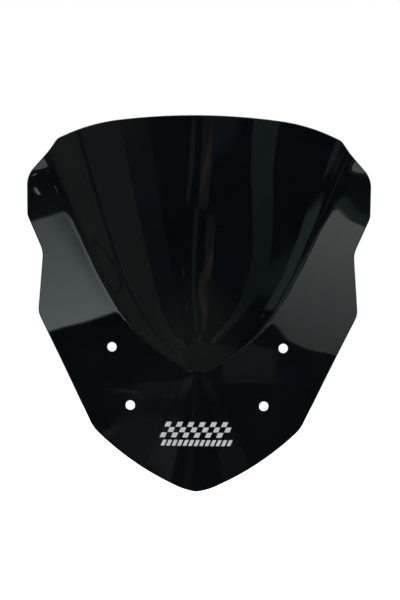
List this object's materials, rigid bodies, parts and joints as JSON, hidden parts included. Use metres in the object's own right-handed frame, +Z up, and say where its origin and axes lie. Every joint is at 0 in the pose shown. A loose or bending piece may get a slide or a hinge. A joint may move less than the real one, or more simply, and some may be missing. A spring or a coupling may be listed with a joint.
{
  "type": "windshield screen",
  "caption": "Gloss black moulded scooter windshield screen: a raised centre bubble between swept wings, drilled for rubber-bushed screws, with a silver checkered decal.",
  "frame": {"origin": "midway between the upper mounting holes, on the rear face that seats there", "axes": "+X to the right seen from the front, -Y forward into the wind, +Z up the centreline of the screen"},
  "size_m": [0.4352, 0.1556, 0.467],
  "materials": {
    "screen_acrylic": "polished gloss black acrylic",
    "decal_film": "satin silver printed film"
  },
  "bodies": {
    "root": {"screen": "screen_acrylic", "decal_checks": "decal_film", "decal_dashes": "decal_film"}
  },
  "joints": []
}
